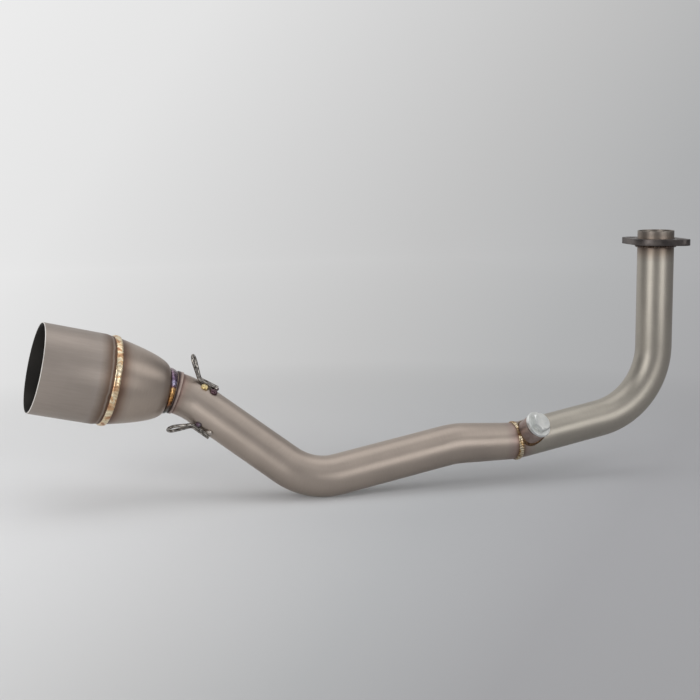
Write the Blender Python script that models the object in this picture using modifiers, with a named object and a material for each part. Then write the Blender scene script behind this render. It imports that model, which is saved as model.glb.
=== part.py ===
"""Exhaust header pipe for a motorbike, as separate welded pieces.

A two-stud flange holds the head pipe to the cylinder head. The pipe drops, turns back, runs low
under the engine and rises again to a flared transition with a wide slip-on cup, where the silencer
is pushed on and held by two springs. A bung for the exhaust sensor, closed by a hexagon plug, leans
on the low run. Metres, +Z up. The origin is the middle of the flange's mating face.
"""
import math

import bmesh
import bpy
from mathutils import Matrix, Vector

# Fit between neighbouring pieces
GAP = 0.0003

# Tube
HEAD_OD = 0.035
MID_OD = 0.038
TUBE_WALL = 0.0012
SWAGE_LENGTH = 0.054
SWAGE_SETBACK = 0.0005

# Bends: straight before it, angle, turn of the bending plane, centre-line radius
SPIGOT = 0.0075
HEAD_DROP = 0.105
HEAD_BEND = math.radians(80)
HEAD_BEND_RADIUS = 0.070
LOW_RUN = 0.083
DIP_ANGLE = math.radians(12)
DIP_RADIUS = 0.080
DIP_RUN = 0.0455
RISE_RUN = 0.108
RISE_BEND = math.radians(51)
RISE_TURN = math.radians(209)
TAIL_RUN = 0.098
TAIL_BEND = math.radians(34)
TAIL_TURN = math.radians(206)
TAIL_RADIUS = 0.057
NECK_RUN = 0.001
NECK_ENTRY = 0.004

# Flange
FLANGE_THICK = 0.006
FLANGE_HUB_RADIUS = HEAD_OD / 2 + 0.0065
STUD_PITCH = 0.054
STUD_HOLE = 0.0085
EAR_RADIUS = STUD_HOLE / 2 + 0.00475
STUD_SIDES = 20
FLANGE_YAW = math.radians(-60)
FLANGE_EDGE = 0.0006
FLANGE_WELD_LEG = 0.0025

# Weld bead of the pipe joint
BEAD_WIDTH = 0.0048
BEAD_CROWN = 0.0009

# Sensor bung, washer and plug
BUNG_BEFORE_WELD = 0.006
BUNG_CLOCK = math.radians(52)
BUNG_LEAN = math.radians(24)
BUNG_OD = 0.0246
BUNG_LIP = 0.001
BUNG_WELD_LEG = 0.0016
BUNG_EDGE = 0.0006
PLUG_SHANK = 0.0176
PLUG_SHANK_LENGTH = 0.0085
PLUG_SHANK_TIP = 0.001
PLUG_FLANGE_OD = 0.0262
PLUG_FLANGE_THICK = 0.0032
PLUG_FLANGE_EDGE = 0.0004
PLUG_HEX = 0.017
PLUG_HEX_HEIGHT = 0.0056
PLUG_CHAMFER = 0.0012
PLUG_CHAMFER_LEDGE = 0.0002
PLUG_TURN = math.radians(-16)
WASHER_OD = 0.0236
WASHER_THICK = 0.001

# Neck, transition and outlet cup, along the outlet's axis
SLEEVE_WIDTH = 0.0045
SLEEVE_WALL = 0.0008
NECK_WELD_WIDTH = 0.0065
NECK_WELD_CROWN = 0.0026
CONE_LENGTH = 0.053
CONE_WALL = 0.0016
CONE_FLARE = 0.52
CUP_OD = 0.0825
CUP_WALL = 0.0012
CUP_LENGTH = 0.067
CUP_NIP = 0.001
CUP_NIP_LENGTH = 0.007
CUP_BEAD_WIDTH = 0.006
CUP_BEAD_CROWN = 0.0009

# Spring hooks of bent wire
WIRE = 0.003
HOOK_LEG_SPREAD = 0.0054
HOOK_BEND_RADIUS = 0.005
HOOK_LEAN = math.radians(48)
HOOK_LOOP_LENGTH = 0.022
HOOK_LOOP_WIDTH = 0.0146
HOOK_LEG = 0.019
UPPER_HOOK_BEFORE_NECK = 0.0243
UPPER_HOOK_CLOCK = math.radians(5)
LOWER_HOOK_BEFORE_NECK = 0.0418
LOWER_HOOK_CLOCK = math.radians(140)
TACK_LENGTH = 0.0062
TACK_WIDTH = 0.0052
TACK_HEIGHT = 0.0044

# Facets
TUBE_HALF = 14
ARC_STEP = math.radians(6)
TRIM = 0.002
RING_STEPS = 40

UP = Vector((0, 0, 1))


# Scene helpers

def clear_scene():
    for obj in list(bpy.data.objects):
        bpy.data.objects.remove(obj)


def new_collection(name):
    coll = bpy.data.collections.new(name)
    bpy.context.scene.collection.children.link(coll)
    return coll


def add_object(name, data, coll, place=None):
    obj = bpy.data.objects.new(name, data)
    coll.objects.link(obj)
    if place is not None:
        obj.matrix_world = place
    return obj


def as_cutter(obj):
    obj.hide_render = True
    obj.display_type = "WIRE"
    return obj


def paint(obj, name, color, roughness, metallic):
    mat = bpy.data.materials.new(name)
    mat.use_nodes = True
    shader = mat.node_tree.nodes["Principled BSDF"]
    shader.inputs["Base Color"].default_value = (*color, 1)
    shader.inputs["Roughness"].default_value = roughness
    shader.inputs["Metallic"].default_value = metallic
    obj.data.materials.clear()
    obj.data.materials.append(mat)


def smooth(mesh, angle=35):
    mesh.shade_smooth()
    mesh.set_sharp_from_angle(angle=math.radians(angle))


def cut(obj, cutter, operation="DIFFERENCE"):
    mod = obj.modifiers.new(operation.title(), "BOOLEAN")
    mod.operation = operation
    mod.object = cutter
    return mod


def to_mesh(curve_obj, coll):
    """Turn an evaluated curve object into a mesh object with its caps welded on."""
    bpy.context.view_layer.update()
    graph = bpy.context.evaluated_depsgraph_get()
    mesh = bpy.data.meshes.new_from_object(curve_obj.evaluated_get(graph))
    name, place = curve_obj.name, curve_obj.matrix_world.copy()
    bpy.data.objects.remove(curve_obj)
    bm = bmesh.new()
    bm.from_mesh(mesh)
    bmesh.ops.remove_doubles(bm, verts=bm.verts, dist=0.00001)
    bm.to_mesh(mesh)
    bm.free()
    mesh.name = name
    return add_object(name, mesh, coll, place)


# Centre line

def lay_out(start, heading, inward, program, tail):
    """Runs of the centre line: each is (s at its start, its length, function of the distance in it)."""
    runs = []
    s = -SPIGOT
    point, along, side = start.copy(), heading.copy(), inward.copy()
    for straight, angle, turn, radius in program:
        runs.append((s, straight, 0.0, line_at(point, along)))
        point = point + along * straight
        s += straight
        side = Matrix.Rotation(turn, 3, along) @ side
        runs.append((s, angle * radius, radius, arc_at(point, along, side, radius)))
        point, along, side = arc_at(point, along, side, radius)(angle * radius)
        s += angle * radius
    runs.append((s, tail, 0.0, line_at(point, along)))
    return runs


def line_at(point, along):
    return lambda d: (point + along * d, along.copy(), None)


def arc_at(point, along, side, radius):
    axis = along.cross(side)
    centre = point + side * radius

    def at(d):
        spin = Matrix.Rotation(d / radius, 3, axis)
        return centre - spin @ side * radius, spin @ along, spin @ side
    return at


def head_route():
    program = [
        (SPIGOT + HEAD_DROP, HEAD_BEND, 0.0, HEAD_BEND_RADIUS),
        (LOW_RUN, DIP_ANGLE, 0.0, DIP_RADIUS),
        (DIP_RUN, DIP_ANGLE, math.pi, DIP_RADIUS),
        (RISE_RUN, RISE_BEND, RISE_TURN, TAIL_RADIUS),
        (TAIL_RUN, TAIL_BEND, TAIL_TURN, TAIL_RADIUS),
    ]
    return lay_out(Vector((0, 0, SPIGOT)), -UP, Vector((-1, 0, 0)), program, NECK_RUN + NECK_ENTRY)


ROUTE = head_route()
ROUTE_END = ROUTE[-1][0] + ROUTE[-1][1]
NECK_STATION = ROUTE_END - NECK_ENTRY
WELD_STATION = ROUTE[3][0] + ROUTE[3][1] / 2


def route_at(s):
    """Point and travel direction of the centre line at arc length s, counted from the flange face."""
    for start, length, _, at in ROUTE:
        if s <= start + length:
            break
    point, along, _ = at(s - start)
    return point, along


def section_frame(s):
    """Point, travel direction, the way up and the way to the outer side of the machine at s."""
    point, along = route_at(s)
    up = (UP - along * UP.dot(along)).normalized()
    return point, along, up, up.cross(along)


def stations(s0, s1, extra=()):
    """Arc lengths that follow the bends, from a trim length before s0 to the same after s1."""
    first, last = s0 - TRIM, s1 + TRIM
    marks = set(extra)
    for start, length, radius, _ in ROUTE:
        count = max(1, math.ceil(length / radius / ARC_STEP)) if radius else 1
        marks.update(start + length * i / count for i in range(count + 1))
    kept = [first]
    for s in sorted(marks):
        if s - kept[-1] > TRIM / 2 and last - s > TRIM / 2:
            kept.append(s)
    return kept + [last]


def basis(point, axis, side):
    """Matrix whose Z is the axis and whose X is the side direction squared up to it."""
    z = axis.normalized()
    x = (side - z * side.dot(z)).normalized()
    y = z.cross(x)
    return Matrix.Translation(point) @ Matrix((x, y, z)).transposed().to_4x4()


def ring_place(s):
    point, along, up, _ = section_frame(s)
    return basis(point, along, up)


# Shape helpers

def head_radius(s):
    return HEAD_OD / 2


def mid_radius(s):
    """Outer radius of the mid pipe, which a long swage opens from the head pipe's size."""
    start = WELD_STATION + BEAD_WIDTH / 2 + SWAGE_SETBACK
    share = min(max((s - start) / SWAGE_LENGTH, 0), 1)
    return (HEAD_OD + (MID_OD - HEAD_OD) * share) / 2


def trim(bm, point, normal, close):
    """Cut a swept skin square at a plane, drop what lies past it and close it if asked."""
    geom = bm.verts[:] + bm.edges[:] + bm.faces[:]
    got = bmesh.ops.bisect_plane(bm, geom=geom, dist=0.0000001, plane_co=point, plane_no=normal,
                                 clear_outer=True)
    if close:
        rim = [item for item in got["geom_cut"] if isinstance(item, bmesh.types.BMEdge)]
        bmesh.ops.edgenet_fill(bm, edges=rim)


def swept(name, s0, s1, radius, coll, grow=0.0, caps=False, extra=()):
    """Round bar or open skin along the centre line, cut square at both stations."""
    marks = stations(s0, s1, extra)
    curve = bpy.data.curves.new(name, "CURVE")
    curve.dimensions = "3D"
    curve.twist_mode = "MINIMUM"
    curve.bevel_depth = HEAD_OD / 2
    curve.bevel_resolution = TUBE_HALF - 2
    spline = curve.splines.new("POLY")
    spline.points.add(len(marks[1:]))
    for knot, s in zip(spline.points, marks):
        knot.co = (*route_at(s)[0], 1)
        knot.radius = (radius(s) + grow) / (HEAD_OD / 2)
    obj = to_mesh(add_object(name, curve, coll), coll)
    bm = bmesh.new()
    bm.from_mesh(obj.data)
    for s, sign in ((s0, -1), (s1, 1)):
        point, along = route_at(s)
        trim(bm, point, along * sign, caps)
    bm.to_mesh(obj.data)
    bm.free()
    smooth(obj.data)
    return obj


def shell(obj, wall):
    mod = obj.modifiers.new("Wall", "SOLIDIFY")
    mod.thickness = wall
    mod.offset = -1
    mod.use_even_offset = True
    return mod


def turned(name, profile, coll, place, closed=True, steps=RING_STEPS):
    """Body turned about local Z from (radius, height) points that run down its outer side."""
    mesh = bpy.data.meshes.new(name)
    verts = [(r, 0, z) for r, z in profile]
    edges = [(i, i + 1) for i in range(len(verts) - 1)]
    if closed:
        edges.append((len(verts) - 1, 0))
    mesh.from_pydata(verts, edges, [])
    obj = add_object(name, mesh, coll, place)
    mod = obj.modifiers.new("Turn", "SCREW")
    mod.steps = steps
    mod.render_steps = steps
    mod.use_merge_vertices = True
    mod.merge_threshold = 0.00001
    mod.use_smooth_shade = True
    return obj


def bead_profile(inner, width, crown, count=6):
    """Weld bead: flat inside, rounded crown outside, top to bottom on the outer side."""
    points = []
    for i in range(count):
        a = math.pi * i / (count - 1)
        points.append((inner + crown * (0.15 + 0.85 * math.sin(a)), width / 2 * math.cos(a)))
    return points + [(inner, -width / 2), (inner, width / 2)]


def cylinder(name, radius, z0, z1, coll, place, sides=RING_STEPS):
    mesh = bpy.data.meshes.new(name)
    bm = bmesh.new()
    shift = Matrix.Translation((0, 0, (z0 + z1) / 2))
    bmesh.ops.create_cone(bm, cap_ends=True, segments=sides, radius1=radius, radius2=radius,
                          depth=z1 - z0, matrix=shift)
    bm.to_mesh(mesh)
    bm.free()
    return add_object(name, mesh, coll, place)


# Flange

def ear_outline():
    """Plan of the flange: a round hub and two smaller ears joined by their common tangents."""
    reach = STUD_PITCH / 2
    lean = math.acos((FLANGE_HUB_RADIUS - EAR_RADIUS) / reach)
    points = []
    for side in (0, math.pi):
        ear = Vector((reach * math.cos(side), reach * math.sin(side)))
        for i in range(9):
            a = side - lean + 2 * lean * i / 8
            points.append(ear + Vector((math.cos(a), math.sin(a))) * EAR_RADIUS)
        for i in range(9):
            a = side + lean + (math.pi - 2 * lean) * i / 8
            points.append(Vector((math.cos(a), math.sin(a))) * FLANGE_HUB_RADIUS)
    return points


def build_flange(coll, tools):
    outline = ear_outline()
    curve = bpy.data.curves.new("head_flange", "CURVE")
    curve.dimensions = "2D"
    curve.fill_mode = "BOTH"
    curve.extrude = FLANGE_THICK / 2
    spline = curve.splines.new("POLY")
    spline.points.add(len(outline[1:]))
    spline.use_cyclic_u = True
    for knot, xy in zip(spline.points, outline):
        knot.co = (xy.x, xy.y, 0, 1)
    turn = Matrix.Rotation(FLANGE_YAW, 4, "Z")
    place = turn @ Matrix.Translation((0, 0, -FLANGE_THICK / 2))
    flange = to_mesh(add_object("head_flange", curve, coll, place), coll)
    edge = flange.modifiers.new("Edge", "BEVEL")
    edge.width = FLANGE_EDGE
    edge.segments = 2
    edge.limit_method = "ANGLE"
    edge.angle_limit = math.radians(60)
    bore = cylinder("flange_bore_cut", HEAD_OD / 2 + GAP, -2 * FLANGE_THICK, FLANGE_THICK, tools, turn,
                    2 * TUBE_HALF)
    cut(flange, as_cutter(bore))
    for k, sign in enumerate((1, -1)):
        at = turn @ Matrix.Translation((sign * STUD_PITCH / 2, 0, 0))
        hole = cylinder(f"stud_hole_cut_{k}", STUD_HOLE / 2, -2 * FLANGE_THICK, FLANGE_THICK, tools, at,
                        STUD_SIDES)
        cut(flange, as_cutter(hole))
    smooth(flange.data, 30)
    paint(flange, "cast steel, heat darkened", (0.12, 0.11, 0.10), 0.5, 1.0)
    return flange


def build_flange_weld(coll):
    """Fillet bead round the pipe, under the plate."""
    inner = HEAD_OD / 2 + GAP
    leg = FLANGE_WELD_LEG
    profile = [(inner + leg, -GAP), (inner + leg, -GAP - 0.2 * leg)]
    for i in range(1, 5):
        a = math.pi / 2 * i / 5
        profile.append((inner + leg * (1 - 0.85 * math.sin(a)), -GAP - leg * (1 - 0.8 * math.cos(a))))
    profile += [(inner + 0.1 * leg, -GAP - leg), (inner, -GAP - leg), (inner, -GAP)]
    place = Matrix.Translation((0, 0, -FLANGE_THICK))
    weld = turned("flange_weld", profile, coll, place)
    paint(weld, "weld under flange", (0.24, 0.19, 0.15), 0.45, 1.0)
    return weld


# Pipes

def build_head_pipe(coll, bung_bore):
    pipe = swept("head_pipe", -SPIGOT, WELD_STATION - GAP / 2, head_radius, coll)
    shell(pipe, TUBE_WALL)
    cut(pipe, bung_bore)
    paint(pipe, "brushed stainless, head pipe", (0.42, 0.38, 0.35), 0.32, 1.0)
    return pipe


def swage_marks():
    start = WELD_STATION + BEAD_WIDTH / 2 + SWAGE_SETBACK
    return start, start + SWAGE_LENGTH


def build_mid_pipe(coll):
    pipe = swept("mid_pipe", WELD_STATION + GAP / 2, ROUTE_END, mid_radius, coll, extra=swage_marks())
    shell(pipe, TUBE_WALL)
    paint(pipe, "brushed stainless, mid pipe", (0.42, 0.38, 0.35), 0.32, 1.0)
    return pipe


def build_mid_weld(coll, skirt_cut):
    profile = bead_profile(HEAD_OD / 2 + GAP, BEAD_WIDTH, BEAD_CROWN)
    weld = turned("mid_weld", profile, coll, ring_place(WELD_STATION))
    cut(weld, skirt_cut)
    paint(weld, "gold weld bead", (0.55, 0.42, 0.25), 0.3, 1.0)
    return weld


# Sensor bung

def bung_place():
    """Frame of the bung: it starts on the centre line and leans back toward the flange."""
    point, along, up, side = section_frame(WELD_STATION - BUNG_BEFORE_WELD)
    out = up * math.cos(BUNG_CLOCK) + side * math.sin(BUNG_CLOCK)
    axis = out * math.cos(BUNG_LEAN) - along * math.sin(BUNG_LEAN)
    return basis(point, axis, along)


def bung_top():
    """Height of the bung's face above the centre line, so that its low edge clears the pipe."""
    low_edge = HEAD_OD / 2 + BUNG_OD / 2 * math.sin(BUNG_LEAN)
    return low_edge / math.cos(BUNG_LEAN) + BUNG_LIP


def bung_reach():
    return WELD_STATION - BUNG_BEFORE_WELD - 2 * BUNG_OD, WELD_STATION + BUNG_OD


def pipe_core(name, grow, tools):
    """Solid bar along the pipe under the bung, thicker than the pipe by the given amount."""
    s0, s1 = bung_reach()
    bar = swept(name, s0, s1, head_radius, tools, grow=grow, caps=True)
    return as_cutter(bar)


def build_bung(coll, tools):
    place = bung_place()
    top = bung_top()
    bore = PLUG_SHANK / 2 + GAP
    profile = [(bore, top), (BUNG_OD / 2 - BUNG_EDGE, top), (BUNG_OD / 2, top - BUNG_EDGE), (BUNG_OD / 2, 0),
               (bore, 0)]
    bung = turned("sensor_bung", profile, coll, place)
    cut(bung, pipe_core("pipe_clear_cut", GAP, tools))
    paint(bung, "turned stainless bung", (0.48, 0.44, 0.40), 0.3, 1.0)
    return bung


def build_bung_weld(coll, tools):
    """Fillet that follows the saddle where the bung stands on the pipe."""
    place = bung_place()
    inner = BUNG_OD / 2 + GAP
    foot = inner + BUNG_WELD_LEG
    top = bung_top() - BUNG_LIP
    profile = [(inner, top - GAP), (inner + 0.2 * BUNG_WELD_LEG, top - GAP), (foot, top - BUNG_WELD_LEG),
               (foot, 0), (inner, 0)]
    weld = turned("bung_weld", profile, coll, place)
    cut(weld, pipe_core("weld_crown_keep", GAP + BUNG_WELD_LEG, tools), "INTERSECT")
    cut(weld, bpy.data.objects["pipe_clear_cut"])
    paint(weld, "bung weld", (0.50, 0.40, 0.28), 0.35, 1.0)
    return weld


def build_washer(coll):
    z0 = bung_top() + GAP
    inner = PLUG_SHANK / 2 + GAP
    outer = WASHER_OD / 2
    z1 = z0 + WASHER_THICK
    profile = [(inner, z1), (outer, z1), (outer, z0), (inner, z0)]
    washer = turned("plug_washer", profile, coll, bung_place())
    paint(washer, "crush washer", (0.62, 0.60, 0.56), 0.3, 1.0)
    return washer


def build_plug(coll, tools):
    place = bung_place()
    z0 = bung_top() + GAP + WASHER_THICK + GAP
    z1 = z0 + PLUG_FLANGE_THICK
    rim = PLUG_FLANGE_OD / 2
    edge = PLUG_FLANGE_EDGE
    shank = PLUG_SHANK / 2
    tip = z0 - PLUG_SHANK_LENGTH
    profile = [(0, z1), (rim - edge, z1), (rim, z1 - edge), (rim, z0 + edge), (rim - edge, z0), (shank, z0),
               (shank, tip + PLUG_SHANK_TIP), (shank - PLUG_SHANK_TIP, tip), (0, tip)]
    plug = turned("sensor_plug", profile, coll, place, closed=False)
    corner = PLUG_HEX / 2 / math.cos(math.pi / 6)
    turn = place @ Matrix.Rotation(PLUG_TURN, 4, "Z")
    root = z1 - PLUG_FLANGE_THICK / 2
    head = cylinder("plug_hex_join", corner, root, z1 + PLUG_HEX_HEIGHT, tools, turn, 6)
    top = z1 + PLUG_HEX_HEIGHT
    crown = PLUG_HEX / 2 - PLUG_CHAMFER_LEDGE
    slope = PLUG_CHAMFER / math.tan(math.radians(30))
    cone = [(0, top + PLUG_CHAMFER), (crown, top + PLUG_CHAMFER), (crown, top),
            (crown + slope, top - PLUG_CHAMFER), (PLUG_HEX, top - PLUG_CHAMFER), (PLUG_HEX, z0), (0, z0)]
    keep = as_cutter(turned("plug_crown_keep", cone, tools, place, closed=False))
    cut(head, keep, "INTERSECT")
    cut(plug, as_cutter(head), "UNION")
    paint(plug, "zinc plated plug", (0.68, 0.68, 0.66), 0.3, 1.0)
    return plug


# Outlet

def outlet_place():
    point, along, up, _ = section_frame(NECK_STATION)
    return basis(point, along, up)


def collar(name, s0, s1, height, coll, marks=()):
    """Ring that follows the bent mid pipe, raised above it by the height at each station."""
    ring = swept(name, s0, s1, lambda s: MID_OD / 2 + GAP + height(s), coll, caps=True, extra=marks)
    cut(ring, bpy.data.objects["neck_core_cut"])
    return ring


def build_neck(coll, tools):
    """Sleeve and broad fillet bead on the last of the bend, ahead of the transition."""
    weld_end = NECK_STATION - GAP
    weld_start = weld_end - NECK_WELD_WIDTH
    sleeve_end = weld_start - 2 * GAP
    sleeve_start = sleeve_end - SLEEVE_WIDTH
    core_start = sleeve_start - SLEEVE_WIDTH
    as_cutter(swept("neck_core_cut", core_start, ROUTE_END, mid_radius, tools, grow=GAP, caps=True))

    def crown(s):
        share = min(max((weld_end - s) / NECK_WELD_WIDTH, 0), 1)
        return 0.0002 + NECK_WELD_CROWN * math.cos(math.pi / 2 * share) ** 0.8

    marks = [weld_start + NECK_WELD_WIDTH * i / 6 for i in range(1, 6)]
    weld = collar("neck_weld", weld_start, weld_end, crown, coll, marks)
    paint(weld, "tinted neck weld", (0.34, 0.28, 0.26), 0.35, 1.0)
    sleeve = collar("neck_sleeve", sleeve_start, sleeve_end, lambda s: SLEEVE_WALL, coll)
    paint(sleeve, "neck sleeve", (0.40, 0.36, 0.33), 0.35, 1.0)


def cone_radius(share):
    small = MID_OD / 2 + GAP + CONE_WALL
    large = CUP_OD / 2 - CUP_NIP
    return small + (large - small) * share ** CONE_FLARE


def build_cone(coll):
    """Bell-shaped transition: steep at the neck, easing into the cup's size."""
    count = 9
    end = CONE_LENGTH - GAP / 2
    profile = []
    for i in range(count + 1):
        share = (i / count) ** 1.7
        profile.append((cone_radius(share), end * share))
    cone = turned("transition_cone", profile[::-1], coll, outlet_place(), closed=False, steps=48)
    shell(cone, CONE_WALL)
    paint(cone, "brushed stainless, transition", (0.42, 0.38, 0.35), 0.32, 1.0)
    return cone


def build_cup_weld(coll):
    place = outlet_place() @ Matrix.Translation((0, 0, CONE_LENGTH))
    profile = bead_profile(CUP_OD / 2 - CUP_NIP + 2 * GAP, CUP_BEAD_WIDTH, CUP_BEAD_CROWN)
    weld = turned("cup_weld", profile, coll, place, steps=48)
    paint(weld, "gold weld bead, cup", (0.52, 0.42, 0.30), 0.3, 1.0)
    return weld


def build_cup(coll):
    large = CUP_OD / 2
    z0 = CONE_LENGTH + GAP / 2
    z1 = CONE_LENGTH + CUP_LENGTH
    bead_end = CONE_LENGTH + CUP_BEAD_WIDTH / 2
    profile = [(large, z1), (large, bead_end + CUP_NIP_LENGTH), (large - CUP_NIP, bead_end),
               (large - CUP_NIP, z0)]
    cup = turned("outlet_cup", profile, coll, outlet_place(), closed=False, steps=48)
    shell(cup, CUP_WALL)
    paint(cup, "brushed stainless, cup", (0.44, 0.41, 0.38), 0.3, 1.0)
    return cup


# Spring hooks

def hook_frame(before_neck, clock):
    """Point on the centre line under the hook's bend, with its along, outward and cross directions."""
    point, along, up, side = section_frame(NECK_STATION - before_neck)
    out = up * math.cos(clock) + side * math.sin(clock)
    return point, along, out, along.cross(out)


def hook_height():
    return MID_OD / 2 + GAP + WIRE / 2


def bend_path(leg):
    """Distances along and outward of one leg: straight on the pipe, then bent up by the lean."""
    points = [(-leg, 0.0), (-HOOK_BEND_RADIUS * 0.5, 0.0)]
    for i in range(1, 5):
        a = HOOK_LEAN * i / 4
        points.append((-HOOK_BEND_RADIUS * 0.5 + HOOK_BEND_RADIUS * math.sin(a),
                       HOOK_BEND_RADIUS * (1 - math.cos(a))))
    return points


def loop_path():
    """Distances along and across of the loop: two tangents that open to a round end."""
    big = (HOOK_LOOP_WIDTH - WIRE) / 2
    half = HOOK_LEG_SPREAD / 2
    centre = HOOK_LOOP_LENGTH - big - WIRE / 2
    flare = math.asin(big / math.hypot(centre, half)) - math.atan2(half, centre)
    points = []
    for i in range(13):
        a = math.pi / 2 + flare - (math.pi + 2 * flare) * i / 12
        points.append((centre + big * math.cos(a), big * math.sin(a)))
    return points


def hook_points(before_neck, clock):
    point, along, out, across = hook_frame(before_neck, clock)
    base = point + out * hook_height()
    half = HOOK_LEG_SPREAD / 2
    leg = [base + along * x + out * y for x, y in bend_path(HOOK_LEG)]
    lean = along * math.cos(HOOK_LEAN) + out * math.sin(HOOK_LEAN)
    first = [p + across * half for p in leg]
    last = [p - across * half for p in reversed(leg)]
    loop = [leg[-1] + lean * x + across * y for x, y in loop_path()]
    return first + loop + last


def wire(name, points, coll, grow=0.0):
    curve = bpy.data.curves.new(name, "CURVE")
    curve.dimensions = "3D"
    curve.bevel_depth = WIRE / 2 + grow
    curve.bevel_resolution = 2
    curve.use_fill_caps = True
    spline = curve.splines.new("POLY")
    spline.points.add(len(points[1:]))
    for knot, co in zip(spline.points, points):
        knot.co = (*co, 1)
    return to_mesh(add_object(name, curve, coll), coll)


def tack(name, before_neck, clock, offset, side, coll):
    """Small weld beside a hook leg: a flattened ball cut to the pipe and the wire."""
    point, along, out, across = hook_frame(before_neck, clock)
    reach = HOOK_LEG_SPREAD / 2 + WIRE / 2 + TACK_WIDTH / 4
    spin = math.asin(reach / hook_height()) * side
    outward = Matrix.Rotation(spin, 3, along) @ out
    at = point + along * offset + outward * (MID_OD / 2 + GAP)
    place = basis(at, outward, along)
    mesh = bpy.data.meshes.new(name)
    bm = bmesh.new()
    bmesh.ops.create_uvsphere(bm, u_segments=14, v_segments=8, radius=1.0)
    bmesh.ops.scale(bm, vec=(TACK_LENGTH / 2, TACK_WIDTH / 2, TACK_HEIGHT / 2), verts=bm.verts)
    bm.to_mesh(mesh)
    bm.free()
    ball = add_object(name, mesh, coll, place)
    smooth(ball.data, 60)
    cut(ball, bpy.data.objects[name.split("_")[0] + "_wire_clear_cut"])
    cut(ball, bpy.data.objects["hook_pipe_clear_cut"])
    return ball


def build_hooks(coll, tools):
    s0 = NECK_STATION - LOWER_HOOK_BEFORE_NECK - 2 * HOOK_LEG
    as_cutter(swept("hook_pipe_clear_cut", s0, NECK_STATION, mid_radius, tools, grow=GAP, caps=True))
    for label, before, clock in (("upper", UPPER_HOOK_BEFORE_NECK, UPPER_HOOK_CLOCK),
                                 ("lower", LOWER_HOOK_BEFORE_NECK, LOWER_HOOK_CLOCK)):
        points = hook_points(before, clock)
        hook = wire(f"{label}_spring_hook", points, coll)
        smooth(hook.data)
        paint(hook, f"stainless wire, {label} hook", (0.45, 0.43, 0.41), 0.28, 1.0)
        as_cutter(wire(f"{label}_wire_clear_cut", points, tools, grow=GAP))
        front = tack(f"{label}_hook_front_weld", before, clock, -HOOK_BEND_RADIUS, 1, coll)
        paint(front, f"{label} hook front weld", (0.60, 0.52, 0.34), 0.35, 1.0)
        end = tack(f"{label}_hook_end_weld", before, clock, -HOOK_LEG + TACK_LENGTH / 4, 1, coll)
        paint(end, f"{label} hook end weld", (0.50, 0.48, 0.46), 0.35, 1.0)


def build_all():
    clear_scene()
    coll = new_collection("exhaust_header_pipe")
    tools = new_collection("cutters")
    build_flange(coll, tools)
    build_flange_weld(coll)
    bung_bore = as_cutter(cylinder("bung_bore_cut", PLUG_SHANK / 2 + GAP, 0, 2 * bung_top(), tools,
                                   bung_place()))
    build_head_pipe(coll, bung_bore)
    build_bung(coll, tools)
    build_bung_weld(coll, tools)
    reach = BUNG_OD / 2 + GAP + BUNG_WELD_LEG + GAP
    skirt_cut = as_cutter(cylinder("skirt_clear_cut", reach, 0, 2 * bung_top(), tools, bung_place()))
    build_mid_weld(coll, skirt_cut)
    build_mid_pipe(coll)
    build_washer(coll)
    build_plug(coll, tools)
    build_neck(coll, tools)
    build_cone(coll)
    build_cup_weld(coll)
    build_cup(coll)
    build_hooks(coll, tools)
    bpy.context.view_layer.update()


build_all()
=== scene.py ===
"""Exhaust header pipe of satin stainless steel, laid out on a pale studio floor.

The tubes are made as a tube bender makes them: one ring of metal is pushed straight and swung round
each bend in turn. Beads, bung, plug, cup and wire hooks then go on in the order a welder fits them.
Metres, +Z up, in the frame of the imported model.
"""
import math

import bmesh
import bpy
from mathutils import Matrix, Vector, noise


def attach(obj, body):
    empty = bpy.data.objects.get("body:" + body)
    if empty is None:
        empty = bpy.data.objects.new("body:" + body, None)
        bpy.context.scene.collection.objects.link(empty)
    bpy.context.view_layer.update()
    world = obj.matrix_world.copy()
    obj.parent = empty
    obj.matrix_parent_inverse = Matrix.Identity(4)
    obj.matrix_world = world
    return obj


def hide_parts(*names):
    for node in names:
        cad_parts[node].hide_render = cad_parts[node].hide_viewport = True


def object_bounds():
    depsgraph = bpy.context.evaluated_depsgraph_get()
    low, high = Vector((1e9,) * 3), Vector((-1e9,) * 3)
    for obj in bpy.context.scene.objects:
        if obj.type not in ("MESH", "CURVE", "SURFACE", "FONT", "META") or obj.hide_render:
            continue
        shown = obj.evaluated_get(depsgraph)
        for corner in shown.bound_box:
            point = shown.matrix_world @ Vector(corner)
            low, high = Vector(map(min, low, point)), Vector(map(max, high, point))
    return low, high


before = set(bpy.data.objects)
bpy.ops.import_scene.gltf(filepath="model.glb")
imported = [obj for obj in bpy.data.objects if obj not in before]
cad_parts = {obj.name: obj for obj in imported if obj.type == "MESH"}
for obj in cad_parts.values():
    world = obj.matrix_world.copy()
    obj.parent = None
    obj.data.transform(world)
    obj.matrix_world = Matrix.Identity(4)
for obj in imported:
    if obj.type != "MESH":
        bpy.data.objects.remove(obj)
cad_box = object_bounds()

MM = 0.001
UP = Vector((0, 0, 1))

# Tube and bends, as the bender reads them: straight, angle, turn of the bending plane, radius
HEAD_OD = 35 * MM
MID_OD = 38 * MM
WALL = 1.2 * MM
GAP = 0.3 * MM
SPIGOT = 7.5 * MM
BENDS = (
    (SPIGOT + 105 * MM, 80, 0, 70 * MM),
    (83 * MM, 12, 0, 80 * MM),
    (45.5 * MM, 12, 180, 80 * MM),
    (108 * MM, 51, 209, 57 * MM),
    (98 * MM, 34, 206, 57 * MM),
)
LAST_STRAIGHT = 5 * MM
NECK_ENTRY = 4 * MM
SWAGE_START = 2.9 * MM
SWAGE_LENGTH = 54 * MM

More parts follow.
